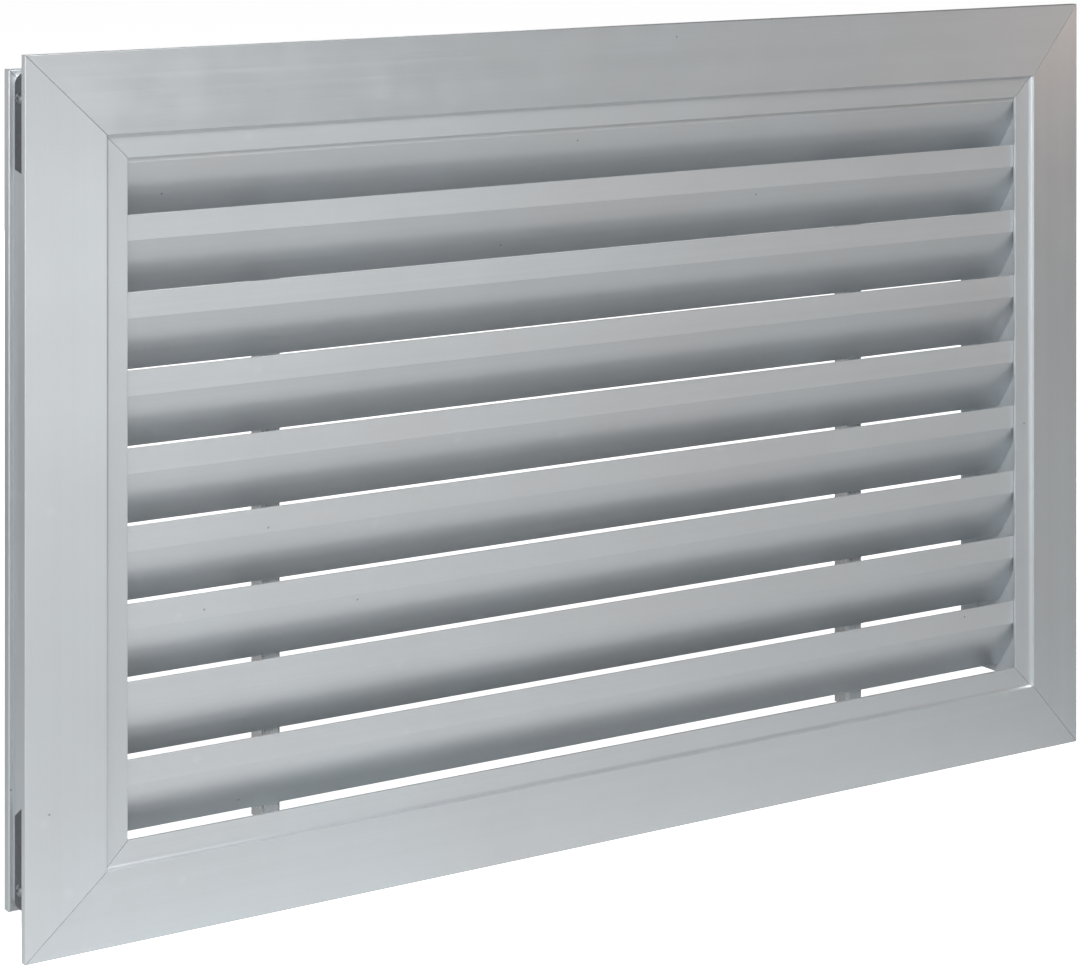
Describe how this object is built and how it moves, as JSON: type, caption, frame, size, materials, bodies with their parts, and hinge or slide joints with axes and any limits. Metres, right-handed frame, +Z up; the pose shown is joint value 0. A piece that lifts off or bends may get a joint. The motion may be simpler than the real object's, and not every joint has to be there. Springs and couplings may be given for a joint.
{
  "type": "louvred air grille",
  "caption": "Rectangular wall grille with a mitred flange frame around fixed curved louvre blades, which are held in side carriers and braced by upright bars at the back.",
  "frame": {"origin": "centre of the opening on the wall plane, which the rear edge of the flange rim touches", "axes": "+X to the right along the blades, +Y into the wall, +Z up"},
  "size_m": [0.71, 0.0585, 0.46],
  "materials": {
    "frame_aluminium": "satin",
    "blade_aluminium": "satin",
    "carrier_aluminium": "satin",
    "bar_aluminium": "satin",
    "galvanised_steel": "dull galvanised",
    "rivet_aluminium": "satin",
    "plated_screws": "zinc plated"
  },
  "bodies": {
    "root": {"top_rail": "frame_aluminium", "bottom_rail": "frame_aluminium", "left_stile": "frame_aluminium", "right_stile": "frame_aluminium", "blade_1": "blade_aluminium", "blade_2": "blade_aluminium", "blade_3": "blade_aluminium", "blade_4": "blade_aluminium", "blade_5": "blade_aluminium", "blade_6": "blade_aluminium", "blade_7": "blade_aluminium", "blade_8": "blade_aluminium", "blade_9": "blade_aluminium", "blade_carrier_left": "carrier_aluminium", "blade_carrier_right": "carrier_aluminium", "support_bar_left": "bar_aluminium", "support_bar_right": "bar_aluminium", "corner_cleat_top_left": "galvanised_steel", "corner_cleat_top_right": "galvanised_steel", "corner_cleat_bottom_left": "galvanised_steel", "corner_cleat_bottom_right": "galvanised_steel", "cleat_rivets": "rivet_aluminium", "blade_end_screws_left": "plated_screws", "blade_end_screws_right": "plated_screws", "bar_screws_left": "plated_screws", "bar_screws_right": "plated_screws", "carrier_screws_left": "plated_screws", "carrier_screws_right": "plated_screws"}
  },
  "joints": []
}
